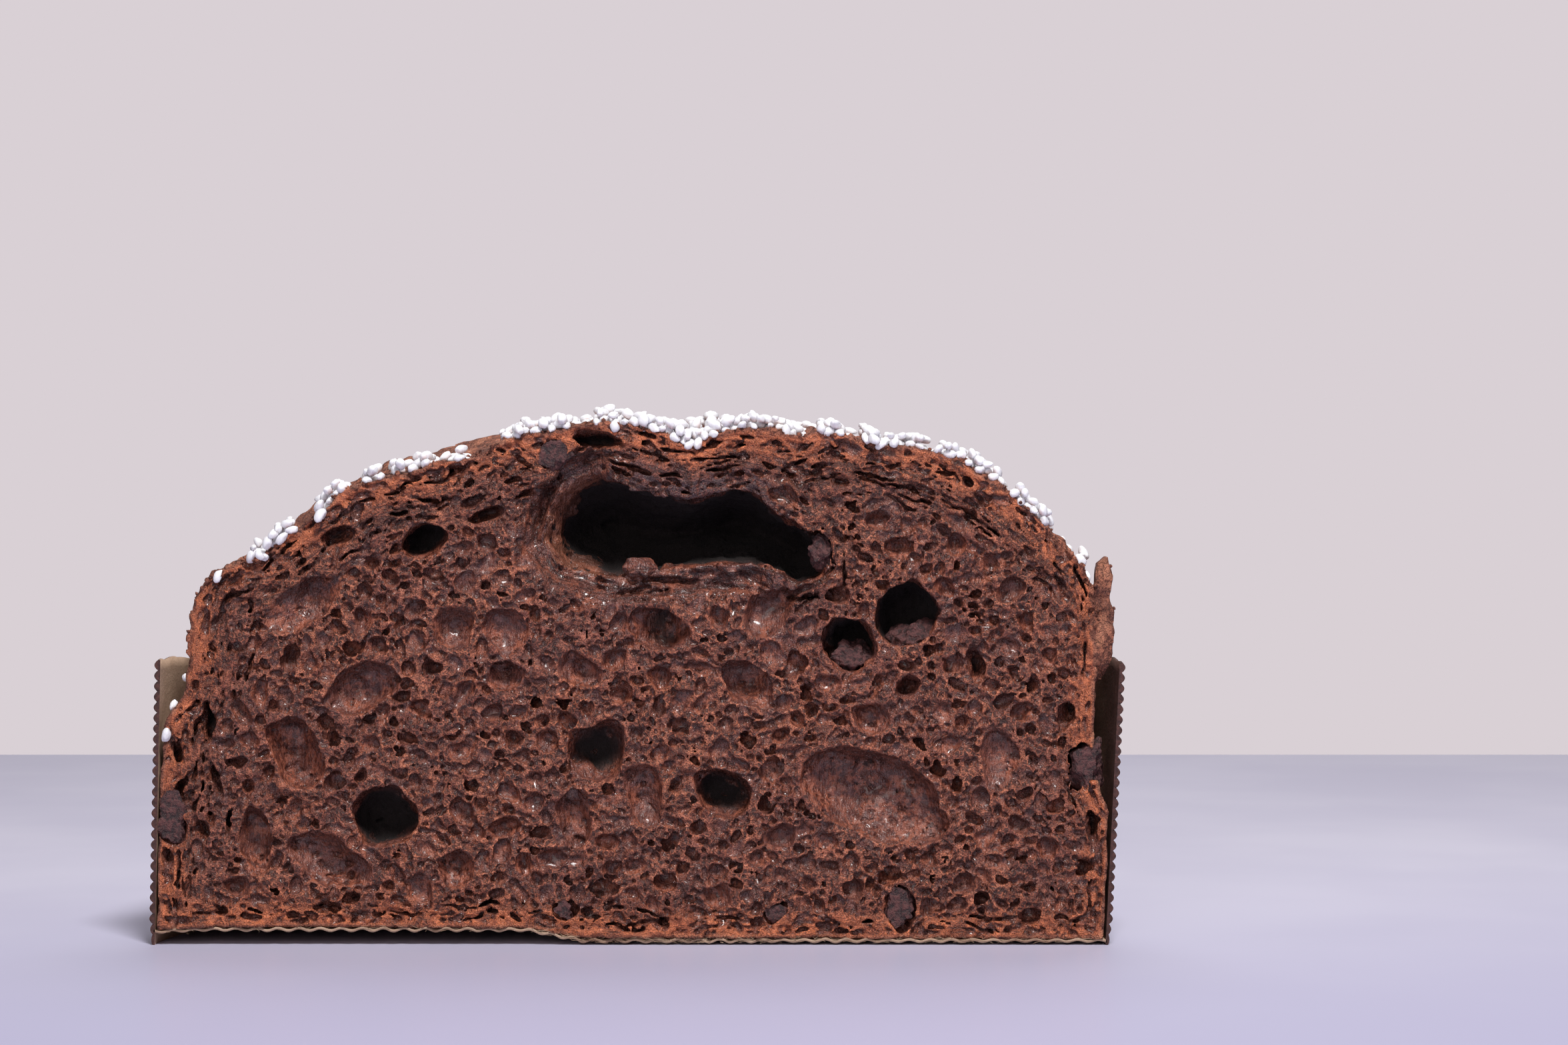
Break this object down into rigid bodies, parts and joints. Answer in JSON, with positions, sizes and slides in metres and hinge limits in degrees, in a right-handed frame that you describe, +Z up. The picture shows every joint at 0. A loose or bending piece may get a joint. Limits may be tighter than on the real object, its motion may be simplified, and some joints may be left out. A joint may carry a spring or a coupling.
{
  "type": "half colomba cake in its paper case",
  "caption": "Half of a dove-shaped chocolate Easter cake, cut across the wings to show its open crumb, with sugar pearls on its crust, in a fluted paper case.",
  "frame": {"origin": "middle of the box round the part, on the surface that it rests on", "axes": "+Z up, +Y from the cut face back to the rounded tail end, +X to the right for someone who looks at the cut face, along the width of the cut"},
  "size_m": [0.2066, 0.1516, 0.1143],
  "materials": {
    "crumb": "soft cocoa crumb with moist, slightly glossy walls in its hollows, under a matte baked crust with white sugar pearls",
    "paper": "dark brown fluted baking paper, with a tan smooth lining on the inside",
    "chocolate": "dark chocolate, satin where the knife cut it and rough where it broke"
  },
  "bodies": {
    "root": {"paper_case": "paper", "cake": "crumb", "chocolate_chunk_1": "chocolate", "chocolate_chunk_2": "chocolate", "chocolate_chunk_3": "chocolate", "chocolate_chunk_4": "chocolate", "chocolate_chunk_5": "chocolate", "chocolate_chunk_6": "chocolate", "chocolate_chunk_7": "chocolate", "chocolate_chunk_8": "chocolate", "chocolate_chunk_9": "chocolate"}
  },
  "joints": []
}
